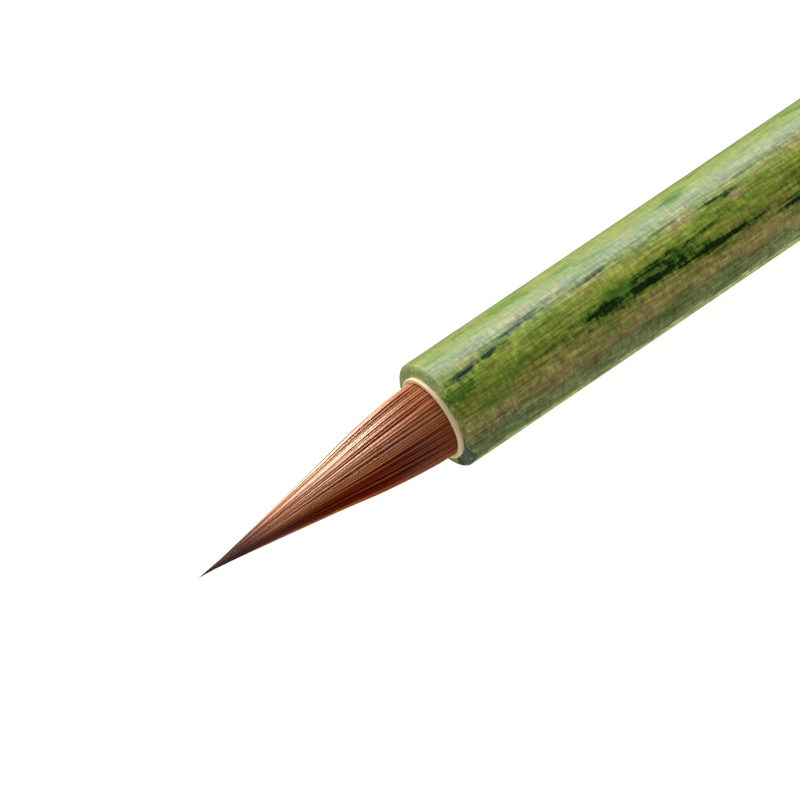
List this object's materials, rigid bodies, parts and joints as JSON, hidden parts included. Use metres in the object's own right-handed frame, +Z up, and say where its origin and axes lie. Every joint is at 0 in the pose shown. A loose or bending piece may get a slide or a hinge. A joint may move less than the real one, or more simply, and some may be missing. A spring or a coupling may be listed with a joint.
{
  "type": "calligraphy brush",
  "caption": "Slim round bamboo handle with a rounded mouth, a pale inner ring and a pointed tuft of glossy brown hair that bends, plus a rounded tail cap with a loop hole.",
  "frame": {"origin": "on the surface that the brush lies on, under the middle of its whole length", "axes": "+X along the brush from the tip of the hair to the tail, +Z up, +Y to the side"},
  "size_m": [0.2304, 0.01, 0.01],
  "materials": {
    "bamboo_skin": "mottled olive green bamboo skin with a satin gloss",
    "pale_bamboo": "smooth, matt",
    "cap_wood": "smooth, satin",
    "set_hair": "hair set hard in rosin",
    "thread": "twisted thread",
    "rosin": "glossy amber resin",
    "glue": "dried animal glue",
    "cover_hair": "glossy reddish-brown animal hair",
    "belly_hair": "pale animal hair",
    "core_hair": "stiff dark animal hair"
  },
  "bodies": {
    "handle": {"culm": "bamboo_skin", "mouth_ring": "pale_bamboo", "tail_cap": "cap_wood", "root_block": "set_hair", "root_binding": "thread", "rosin_seal": "rosin", "socket_glue": "glue"},
    "tuft": {"cover_hair": "cover_hair", "belly_hair": "belly_hair", "core_hair": "core_hair"}
  },
  "joints": [
    {"name": "tuft_bend", "type": "hinge", "parent": "handle", "child": "tuft", "pos_m": [-0.092, 0, 0.005], "axis": [0, 0, 1], "range_deg": [-35, 35], "stiffness_Nm_per_rad": 0.01}
  ]
}
